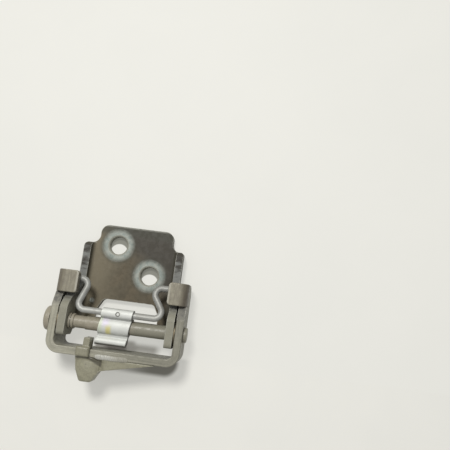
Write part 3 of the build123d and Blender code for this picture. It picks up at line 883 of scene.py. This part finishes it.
class ZincClip(BareMetal):
    """Pale zinc plate of the clip, with a yellow dab and a faint green and violet bloom beside it."""

    marks: ClipMarks = ClipMarks()

    def spot(self, spot: PaintSpot) -> Socket:
        """Return the mask of a spot with a ragged rim, on the clip's upper side only.

        Args:
            spot: Its place and size.

        Returns:
            The mask.
        """
        graph = self.graph
        x, y, z = graph.xyz()
        squares = []
        for value, middle, half in zip((x, y), spot.middle, spot.half):
            scaled = graph.math("DIVIDE", graph.subtract(value, middle), half)
            squares.append(graph.multiply(scaled, scaled))
        far = graph.math("SQRT", graph.length(*squares))
        ragged = graph.add(far, graph.drift(self.marks.rag_scale, self.marks.rag))
        return graph.multiply(graph.ramp(ragged, *spot.rim, 1.0, 0.0), graph.ramp(z, *self.marks.top_z))

    def marked(self, colour: Socket) -> Socket:
        """Return the plate's colour with painted shade round the dimple, on the lip, along the right edge
        and in the creases, and the spots.

        Args:
            colour: The plate's colour.

        Returns:
            The colour with the marks.
        """
        graph, marks = self.graph, self.marks
        # painted shade round the rim of the dimple's hollow
        mask, far = self.mark(marks.dimple, marks.dimple_mark)
        rim = graph.ramp(far, *marks.dimple_shade_ring)
        colour = graph.lay(colour, self.tones.darkening, mask, rim, marks.dimple_shade_share)
        from_pin = graph.from_pin()
        edge = graph.add(graph.multiply(from_pin, marks.right_skew), marks.right_edge)
        side = graph.ramp(graph.subtract(graph.xyz()[0], edge), *marks.right_rim)
        dark = graph.math("MAXIMUM", graph.ramp(from_pin, *marks.lip), side)
        colour = graph.lay(colour, marks.shaded, dark, marks.shaded_share)
        # painted shade along the creases
        for crease_shade in marks.crease_shades:
            colour = self.scaled(colour, graph.ramp(graph.apart(from_pin, crease_shade), *marks.crease_shade))
        for tint in marks.tints:
            colour = graph.lay(colour, tint.colour, self.spot(tint), tint.share)
        self.paint = self.spot(marks.dab)
        return graph.lay(colour, marks.dab.colour, self.paint, marks.dab.share)

    def metal(self) -> Any:
        """Return how metallic the surface is, less under the paint."""
        return self.graph.ramp(self.paint, 0.0, 1.0, self.tones.metallic, self.marks.dab_metallic)


@dataclass(frozen=True)
class WeldTones:
    """Colours and texture of the weld bead. Scales are features per metre."""

    bright: Colour = (0.46, 0.46, 0.425)
    dull: Colour = (0.23, 0.22, 0.175)
    dark: Colour = (0.07, 0.06, 0.045)
    crest: Step = (FRONT_Z, FRONT_Z + 0.7 * MM, 0.35, 1.0)
    fine_scale: float = 3200.0
    fine: Step = (0.36, 0.64, 0.85, 1.0)
    along: Step = (-4.0 * MM, 6.0 * MM, 1.0, 0.25)
    speck_scale: float = 1100.0
    specks: Step = (0.58, 0.70, 0.0, 0.15)
    metallic: float = 0.25
    roughness: Span = (0.6, 0.45)
    skin_scale: float = 1500.0
    bump: float = 0.4
    bump_depth: float = 0.1 * MM


class WeldSkin(Finish):
    """Weld metal: bright on the crests and towards the left, duller lower down, with a few faint specks."""

    tones: WeldTones

    def build(self) -> None:
        """Mix the bright and dull tones and the specks, and feed the shader."""
        graph, tones = self.graph, self.tones
        x, _, z = graph.xyz()
        fine = graph.noise(tones.fine_scale, detail=4.0, rough=0.7)
        bright = graph.multiply(graph.ramp(z, *tones.crest), graph.ramp(fine, *tones.fine),
                                graph.ramp(x, *tones.along))
        specks = graph.ramp(graph.noise(tones.speck_scale, rough=0.6), *tones.specks)
        colour = graph.lay(graph.lay(tones.dull, tones.bright, bright), tones.dark, specks)
        self.set(Base_Color=colour, Metallic=graph.multiply(bright, tones.metallic),
                 Roughness=graph.ramp(bright, 0.0, 1.0, *tones.roughness))
        self.bump(self.skin()["Height"], tones.bump, tones.bump_depth)


@dataclass(frozen=True)
class ShadePatch:
    """A soft-edged shade on the floor, as X from the origin and Y from the pin."""

    x: Span
    y: Span
    blur: Span
    colour: Colour


@dataclass(frozen=True)
class FloorTones:
    """Colours of the painted shelf and the shades on it: X from the origin, Y from the pin."""

    main: Colour = (0.765, 0.758, 0.715)
    other: Colour = (0.735, 0.732, 0.692)
    patch_scale: float = 14.0
    patch_step: Span = (0.3, 0.7)
    roughness: float = 0.62
    skin_scale: float = 900.0
    bump: float = 0.08
    bump_depth: float = 0.2 * MM
    glow: Colour = (0.79, 0.785, 0.735)
    # more glow above the web line: painted light that lightens the shadows inside the U and round the leaf
    painted_light_share: Step = (-16.5 * MM, -14.0 * MM, 0.42, 0.66)
    contact_shadow: Colour = (0.185, 0.18, 0.155)
    contact_along: Step = (-14.0 * MM, 22.0 * MM, 0.22, 1.0)
    contact_half: float = 28.5 * MM
    contact_y: float = -18.7 * MM
    contact_radius: float = 9.0 * MM
    contact_rim: Span = (0.9 * MM, -2.6 * MM)
    contact_front: Span = (-16.5 * MM, -18.0 * MM)
    shades: tuple[ShadePatch, ...] = (
        ShadePatch((-16.0 * MM, 22.5 * MM), (-17.0 * MM, -10.2 * MM),
                   (3.0 * MM, 2.2 * MM), (0.27, 0.262, 0.235)),
        ShadePatch((1.5 * MM, 8.0 * MM), (-17.0 * MM, -8.6 * MM),
                   (2.2 * MM, 1.8 * MM), (0.31, 0.30, 0.27)),
        ShadePatch((-16.5 * MM, 3.0 * MM), (-17.0 * MM, -12.0 * MM),
                   (1.5 * MM, 1.0 * MM), (0.13, 0.12, 0.105)))
    hole_shade: Colour = (0.25, 0.25, 0.215)
    hole_half: Span = (11.0 * MM, 8.4 * MM)
    hole_shift: float = 4.2 * MM
    hole_mark: RoundMark = RoundMark(5.6 * MM, 0.3 * MM, 0.0)
    hole_reach: Step = (9.5 * MM, 9.8 * MM, 1.0, 0.0)


class ShelfPaint(Finish):
    """Pale painted floor, lifted where it is seen directly and more so above the web line, with painted
    shade by the web, inside the U and in the bolt holes.
    """

    tones: FloorTones

    def build(self) -> None:
        """Paint the shades on the floor and on its glow, and feed the shader."""
        graph, tones = self.graph, self.tones
        contact_shadow = self.contact_shadow()
        paint = graph.lay(tones.main, tones.other, self.patches()["Large"])
        # painted shadow under the web, in the floor's colour and in its glow
        paint = graph.lay(paint, tones.contact_shadow, contact_shadow)
        glow = self.shaded(graph.lay(tones.glow, tones.contact_shadow, contact_shadow))
        # painted shade on the floor in the upper part of each bolt hole
        for side in (1, -1):
            centre = (side * tones.hole_half[0], -side * tones.hole_half[1] - tones.hole_shift)
            mask, far = self.mark(centre, tones.hole_mark)
            shade = graph.multiply(graph.ramp(far, *tones.hole_reach), graph.subtract(1.0, mask))
            paint, glow = (graph.lay(colour, tones.hole_shade, shade) for colour in (paint, glow))
        self.set(Base_Color=paint, Roughness=tones.roughness)
        self.bump(self.skin()["Height"], tones.bump, tones.bump_depth)
        self.lift(glow)

    def contact_shadow(self) -> Socket:
        """Return the mask of the painted shadow under the web and round the bends."""
        graph, tones = self.graph, self.tones
        x, from_pin = graph.xyz()[0], graph.from_pin()
        out = graph.length(graph.beyond(graph.apart(x, BRACKET_MIDDLE), tones.contact_half),
                           graph.subtract(from_pin, tones.contact_y))
        rim = graph.ramp(graph.subtract(out, tones.contact_radius), *tones.contact_rim)
        front = graph.ramp(from_pin, *tones.contact_front)
        return graph.multiply(graph.ramp(x, *tones.contact_along), rim, front)

    def shaded(self, colour: Socket) -> Socket:
        """Return a colour with the soft shades inside the U.

        Args:
            colour: Colour of the glow.

        Returns:
            The colour with the shades.
        """
        graph = self.graph
        x, from_pin = graph.xyz()[0], graph.from_pin()
        for shade in self.tones.shades:
            colour = graph.lay(colour, shade.colour, graph.between(x, shade.x, shade.blur[0]),
                               graph.between(from_pin, shade.y, shade.blur[1]))
        return colour

    def lift(self, colour: Socket) -> None:
        """Mix in a glow for what is seen directly, in a mirror or through glass: even brightness, with more
        above the web line as painted light over the shadows there.

        Args:
            colour: Colour of the glow.
        """
        graph = self.graph
        rays = graph.node("ShaderNodeLightPath").outputs
        seen = graph.add(rays["Is Camera Ray"], rays["Is Glossy Ray"])
        seen = graph.math("ADD", seen, rays["Is Transmission Ray"], clamp=True)
        share = graph.multiply(seen, graph.ramp(graph.from_pin(), *self.tones.painted_light_share))
        glow = graph.fill(graph.node("ShaderNodeEmission"), Color=colour).outputs[0]
        both = graph.listed(graph.node("ShaderNodeMixShader"), (share, self.shader.outputs[0], glow))
        graph.fill(graph.tree.nodes["Material Output"], Surface=both.outputs[0])


# Mesh helpers


def wave(place: float, length: float, depth: float) -> float:
    """Return a cosine wave that tops at 1 and dips by twice its depth."""
    return 1.0 - depth * (1.0 - math.cos(2 * math.pi * place / length))


def linked(name: str, data: bpy.types.ID) -> bpy.types.Object:
    """Return a new object in the scene."""
    made = bpy.data.objects.new(name, data)
    bpy.context.scene.collection.objects.link(made)
    return made


class Workshop:
    """Makes mesh pieces and hangs them on the frame."""

    def __init__(self, frame: dict[str, Any]) -> None:
        self.frame = frame

    def node(self, name: str) -> bpy.types.Object:
        """Return a CAD node's object."""
        return self.frame["nodes"][name]

    def dress(self, name: str, finish: Finish) -> None:
        """Give a CAD node a finish.

        Args:
            name: The node's name.
            finish: Its finish.
        """
        piece = self.node(name)
        if piece.material_slots:
            for slot in piece.material_slots:
                slot.material = finish.material
        else:
            piece.data.materials.append(finish.material)
        log.info("dressed %s with %s", name, finish.material.name)

    def add(self, name: str, mesh: bpy.types.Mesh, finish: Finish, body: Body, slot: Slot,
            stands_for: Iterable[str]) -> None:
        """Add a mesh piece that rides on a body.

        Args:
            name: The piece's name.
            mesh: Its mesh, in the part's frame.
            finish: Its finish.
            body: The body that it rides on.
            slot: The record's material slot; not used.
            stands_for: CAD nodes that it replaces.
        """
        piece = linked(name, mesh)
        mesh.materials.clear()
        mesh.materials.append(finish.material)
        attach(piece, body.value)
        for node in stands_for:
            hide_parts(node)
        log.info("added %s: %d faces", name, len(mesh.polygons))

    def softened(self, name: str, voxel: float, passes: int) -> bpy.types.Mesh:
        """Return a copy of a CAD node's mesh with all its edges run into soft rounds.

        Args:
            name: The node's name.
            voxel: Size of the mesh's cells.
            passes: Number of smoothing passes.

        Returns:
            The softened mesh.
        """
        copy = linked("soft_" + name, self.node(name).data.copy())
        remesh = copy.modifiers.new("cells", "REMESH")
        remesh.mode = "VOXEL"
        remesh.voxel_size = voxel
        smooth = copy.modifiers.new("soft", "SMOOTH")
        smooth.factor = 0.5
        smooth.iterations = passes
        seen = copy.evaluated_get(bpy.context.evaluated_depsgraph_get())
        mesh = bpy.data.meshes.new_from_object(seen)
        bpy.data.objects.remove(copy)
        for face in mesh.polygons:
            face.use_smooth = True
        return mesh


# Assemblies


@dataclass
class LeafAssembly:
    """The leaf with the pin and collar that are fixed in its ears."""

    workshop: Workshop
    effects: Effects
    # the leaf's pale worn edges are partly rubbed wear and partly a painted highlight along the edges
    plate: PrimerTones = PrimerTones(
        main=(0.098, 0.084, 0.057), warm=(0.125, 0.100, 0.064), dark=(0.062, 0.055, 0.041),
        worn=(0.36, 0.36, 0.32), patch_scale=70.0, wear_width=0.9 * MM, wear_amount=4.5, darkening_amount=0.55,
        roughness=0.56, specular=0.2)
    pin: PrimerTones = PrimerTones(
        main=(0.300, 0.272, 0.215), warm=(0.255, 0.240, 0.180), dark=(0.185, 0.168, 0.125),
        patch_scale=120.0, roughness=0.42, specular=0.4, wear_amount=1.4, darkening_reach=4.0 * MM)

    def build(self) -> None:
        """Dress the leaf, the pin and the collar."""
        self.workshop.dress("leaf_bracket", LeafPrimer("leaf_primer", self.effects, self.plate))
        finish = PinPrimer("pin_primer", self.effects, self.pin)
        for name in ("hinge_pin", "pin_collar"):
            self.workshop.dress(name, finish)


@dataclass(frozen=True)
class LugForm:
    """How the lug's mesh is softened and made uneven, and how its foot is crowned.

    The crown grows with the distance from the foot's middle in half sizes. It ends at the reach, and
    fades over the last of it.
    """

    cell: float = 0.28 * MM
    passes: int = 5
    unevenness: float = 0.09 * MM
    uneven_scale: float = 420.0
    uneven_middle: float = 0.4
    foot_middle: Span = (-14.0 * MM, -67.0 * MM)
    foot_half: Span = (7.4 * MM, 7.2 * MM)
    crown: float = 1.5 * MM
    crown_along: float = 0.5
    reach: Span = (1.4, 1.0)
    fade: Span = (0.3, 0.25)


@dataclass(frozen=True)
class BeadForm:
    """Size and unevenness of the weld bead: X from the origin, Y from the pin, scales per metre.

    The noise rows are the second coordinates of the noise for the swell and for the wander.
    """

    start: float = -10.2 * MM
    end: float = 9.4 * MM
    y: float = -17.9 * MM
    half_width: float = 1.6 * MM
    end_width: float = 0.35
    end_slope: float = 3.0
    height: float = 0.75 * MM
    sunk: float = 0.12 * MM
    skirt: float = 0.1 * MM
    rows: int = 180
    columns: int = 16
    ripple_length: float = 0.95 * MM
    ripple_depth: float = 0.006
    scallop_length: float = 1.15 * MM
    scallop_depth: float = 0.14
    scallop_bow: float = 0.6 * MM
    swell_middle: float = 0.85
    swell: float = 0.35
    swell_scale: float = 700.0
    wander: float = 0.25 * MM
    wander_scale: float = 350.0
    lump: float = 0.10
    lump_scale: float = 900.0
    noise_rows: Span = (3.1, 8.7)


@dataclass
class BracketAssembly:
    """The U bracket with its bushes, stop lug and weld bead."""

    workshop: Workshop
    effects: Effects
    strip: PrimerTones = PrimerTones(
        main=(0.300, 0.292, 0.234), warm=(0.262, 0.252, 0.194), dark=(0.195, 0.188, 0.148),
        patch_scale=85.0, dark_share=0.4, wear_width=0.7 * MM, wear_amount=3.6)
    lug: PrimerTones = PrimerTones(
        main=(0.258, 0.250, 0.180), warm=(0.225, 0.214, 0.150), dark=(0.150, 0.140, 0.100),
        patch_scale=110.0, dark_share=0.45, wear_width=0.8 * MM, wear_amount=1.1, roughness=0.38, bump=0.45,
        skin_scale=1700.0)
    bush: MetalTones = MetalTones(
        main=(0.16, 0.135, 0.09), stain=(0.10, 0.085, 0.06), roughness=0.5, metallic=0.7, darkening_amount=0.8)
    weld: WeldTones = WeldTones()
    lug_form: LugForm = LugForm()
    bead_form: BeadForm = BeadForm()

    def build(self) -> None:
        """Dress the strip and bushes, and make the lug and the bead."""
        self.workshop.dress("u_bracket", BracketPrimer("strip_primer", self.effects, self.strip))
        bush = BareMetal("bush_bronze", self.effects, self.bush)
        for side in ("left_bush", "right_bush"):
            self.workshop.dress(side, bush)
        self.build_lug()
        self.build_bead()

    def build_lug(self) -> None:
        """Make the forged stop lug with soft, slightly uneven faces, inside the CAD lug's box."""
        mesh = self.workshop.softened("stop_lug", self.lug_form.cell, self.lug_form.passes)
        low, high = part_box("stop_lug")
        moved = [self.forged(vertex.co.copy(), vertex.normal.copy()) for vertex in mesh.vertices]
        mesh.vertices.foreach_set("co", [
            min(max(place[axis], low[axis]), high[axis]) for place in moved for axis in range(3)])
        finish = LugPrimer("lug_primer", self.effects, self.lug)
        self.workshop.add("stop_lug_forged", mesh, finish, Body.BRACKET, Slot.STRIP, ["stop_lug"])

    def forged(self, place: Vector, normal: Vector) -> Vector:
        """Return a place on the lug, made slightly uneven and crowned over the foot.

        Args:
            place: Where the vertex is.
            normal: Its normal.

        Returns:
            Where the vertex goes.
        """
        form = self.lug_form
        lift = noise.noise(place * form.uneven_scale) - form.uneven_middle
        moved = place + normal * lift * form.unevenness
        across = (place.x - form.foot_middle[0]) / form.foot_half[0]
        along = (place.y - form.foot_middle[1]) / form.foot_half[1]
        inside = [(limit - value) / fade
                  for limit, value, fade in zip(form.reach, (abs(across), along), form.fade)]
        if min(inside) > 0.0 and normal.z > 0.0:
            fall = min(1.0, across * across + form.crown_along * along * along)
            moved.z -= form.crown * fall * normal.z * min(1.0, inside[0]) * min(1.0, inside[1])
        return moved

    def build_bead(self) -> None:
        """Make the weld bead as a low ridge of scallops, closed underneath."""
        form = self.bead_form
        shape = bmesh.new()
        rows = [[shape.verts.new(place) for place in self.bead_row(step / form.rows)]
                for step in range(form.rows + 1)]
        for first, second in zip(rows, rows[1:]):
            for j in range(form.columns):
                shape.faces.new((first[j], second[j], second[j + 1], first[j + 1]))
        shape.faces.new([row[0] for row in rows] + [row[-1] for row in reversed(rows)])
        bmesh.ops.recalc_face_normals(shape, faces=shape.faces)
        mesh = bpy.data.meshes.new("weld_ridge")
        shape.to_mesh(mesh)
        shape.free()
        for face in mesh.polygons:
            face.use_smooth = len(face.vertices) == 4
        finish = WeldSkin("weld_metal", self.effects, self.weld)
        self.workshop.add("weld_ridge", mesh, finish, Body.BRACKET, Slot.WELD, ["weld_bead"])

    def bead_row(self, along: float) -> list[Triple]:
        """Return the places across the bead.

        Args:
            along: How far along the bead the row is, from 0 to 1.

        Returns:
            Places from one side of the bead to the other.
        """
        form = self.bead_form
        x = form.start + along * (form.end - form.start)
        ends = min(1.0, math.sin(math.pi * along) * form.end_slope) ** 0.5 if 0 < along < 1 else 0.0
        width = form.half_width * (form.end_width + (1.0 - form.end_width) * ends)
        width *= wave(x, form.ripple_length, form.ripple_depth)
        swell, wander = (noise.noise(Vector((x * scale, row, 0.0))) for scale, row in zip(
            (form.swell_scale, form.wander_scale), form.noise_rows))
        height = form.height * ends * (form.swell_middle + form.swell * swell)
        places = []
        for j in range(form.columns + 1):
            side = -1.0 + 2.0 * j / form.columns
            y = PIN.y + form.y + form.wander * wander + side * width
            lump = 1.0 + form.lump * noise.noise(Vector((x, y, 0.0)) * form.lump_scale)
            scallop = wave(x + form.scallop_bow * side * side, form.scallop_length, form.scallop_depth)
            dome = math.sqrt(max(0.0, 1.0 - side * side))
            places.append((x, y, FRONT_Z - form.sunk + (height * scallop * lump + form.skirt) * dome))
        return places


@dataclass
class CheckSpringAssembly:
    """The bent wire and the clip that grips the pin."""

    workshop: Workshop
    effects: Effects
    wire: MetalTones = MetalTones(
        main=(0.36, 0.365, 0.345), stain=(0.26, 0.255, 0.23), roughness=0.48, metallic=0.3,
        stain_share=0.45, line_bump=0.1, darkening_amount=0.65)
    clip: MetalTones = MetalTones(
        main=(0.64, 0.655, 0.625), stain=(0.52, 0.53, 0.50), roughness=0.55, metallic=0.15,
        line_bump=0.06, line_scales=(2600.0, 500.0, 500.0), darkening_amount=0.45, darkening_reach=2.0 * MM)

    def build(self) -> None:
        """Dress the wire and the clip."""
        self.workshop.dress("check_spring", SpringWire("spring_wire", self.effects, self.wire))
        self.workshop.dress("spring_clip", ZincClip("clip_zinc", self.effects, self.clip))


@dataclass
class Studio:
    """Floor, light and camera of the photograph. The camera's turn is in radians, its shift in mm."""

    effects: Effects
    camera_turn: Triple = (-0.164, -0.042, -0.122)
    camera_shift: Triple = (-62.629, -60.244, -307.5)
    focal_pixels: float = 519.48
    frame_pixels: float = 450.0
    sensor_width: float = 36.0
    clip_start: float = 0.01
    floor_size: float = 4.0
    floor_drop: float = 0.02 * MM
    sky_colour: Colour = (1.0, 0.995, 0.98)
    sky_strength: float = 0.50
    key_colour: Colour = (1.0, 0.985, 0.955)
    key_place: Triple = (-0.10, 0.34, 0.75)
    key_size: float = 0.20
    key_power: float = 5.2

    def build(self) -> None:
        """Make the floor, light it and set the camera."""
        self.build_floor()
        self.build_light()
        self.build_camera()
        bpy.context.scene.view_settings.view_transform = "Standard"

    def build_floor(self) -> None:
        """Make the pale floor just under the part."""
        half, low = self.floor_size / 2, -self.floor_drop
        corners = [(-half, -half, low), (half, -half, low), (half, half, low), (-half, half, low)]
        mesh = bpy.data.meshes.new("floor")
        mesh.from_pydata(corners, [], [(0, 1, 2, 3)])
        mesh.materials.append(ShelfPaint("shelf_paint", self.effects, FloorTones()).material)
        floor = linked("floor", mesh)

    def build_light(self) -> None:
        """Light the part softly from all sides, with a small lamp above."""
        world = bpy.data.worlds.new("sky")
        world.use_nodes = True
        back = world.node_tree.nodes["Background"]
        Graph(world.node_tree).fill(back, Color=self.sky_colour, Strength=self.sky_strength)
        bpy.context.scene.world = world
        lamp = bpy.data.lights.new("key", "AREA")
        lamp.shape = "DISK"
        lamp.size = self.key_size
        lamp.energy = self.key_power
        lamp.color = self.key_colour
        holder = linked("key", lamp)
        holder.location = self.key_place
        holder.rotation_mode = "QUATERNION"
        holder.rotation_quaternion = (PIN - Vector(self.key_place)).to_track_quat("-Z", "Y")

    def build_camera(self) -> None:
        """Set the camera that was fitted to the photograph."""
        lens = bpy.data.cameras.new("camera")
        lens.sensor_width = self.sensor_width
        lens.lens = self.focal_pixels / self.frame_pixels * self.sensor_width
        lens.clip_start = self.clip_start
        turn = Euler(self.camera_turn, "XYZ").to_matrix().transposed().to_4x4()
        shift = Matrix.Translation(-Vector(self.camera_shift) * MM)
        camera = linked("camera", lens)
        camera.matrix_world = Matrix.Translation(PIN) @ turn @ shift
        bpy.context.scene.camera = camera


def main() -> None:
    """Load the frame, dress it, and log each assembly as it is built."""
    logging.basicConfig(level=logging.INFO, format="%(name)s: %(message)s")
    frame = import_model()
    workshop = Workshop(frame)
    effects = Effects()
    for assembly in (LeafAssembly(workshop, effects), BracketAssembly(workshop, effects),
                     CheckSpringAssembly(workshop, effects), Studio(effects)):
        assembly.build()
        log.info("built %s", type(assembly).__name__)
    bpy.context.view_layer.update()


if __name__ == "__main__":
    main()
